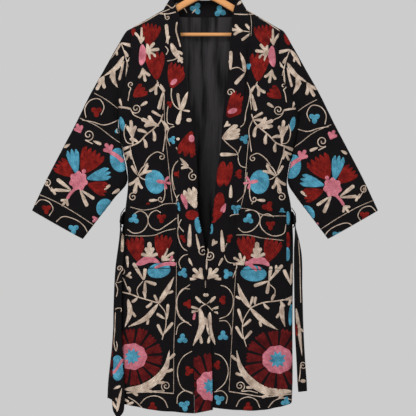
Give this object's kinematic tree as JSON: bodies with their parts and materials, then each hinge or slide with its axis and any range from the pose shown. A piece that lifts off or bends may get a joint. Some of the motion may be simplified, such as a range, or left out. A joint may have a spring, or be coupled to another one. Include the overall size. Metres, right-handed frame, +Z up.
{
  "type": "long coat on hanger",
  "caption": "Open-fronted long coat with wide straight sleeves, a banded front edge, patch pockets and a belt, covered in chain-stitch embroidery, hanging flat on a wooden hanger.",
  "frame": {"origin": "top of the inside of the hook, where the hanger hangs on its rail", "axes": "+Z up, the coat's front faces -Y, +X towards the viewer's right (the wearer's left)"},
  "size_m": [0.94, 0.1017, 1.236],
  "materials": {
    "cotton_black": "black cotton, chain-stitched over all of its face",
    "lining_black": "plain dark cotton lining",
    "thread_cream": "cream chain stitch",
    "thread_red": "dark red chain stitch",
    "thread_blue": "sky blue chain stitch",
    "thread_pink": "pink chain stitch",
    "wood": "clear-varnished pine",
    "steel": "plated wire"
  },
  "bodies": {
    "root": {"back": "cotton_black", "lining_back": "lining_black", "front_left": "cotton_black", "front_right": "cotton_black", "sleeve_left": "cotton_black", "sleeve_right": "cotton_black", "band_left": "cotton_black", "band_right": "cotton_black", "band_neck": "cotton_black", "pocket_left": "cotton_black", "pocket_right": "cotton_black", "belt_back": "cotton_black", "belt_left": "cotton_black", "belt_right": "cotton_black", "belt_loop_left": "cotton_black", "belt_loop_right": "cotton_black", "hanger_arms": "wood", "hanger_bar": "wood", "hanger_hook": "steel"}
  },
  "joints": []
}
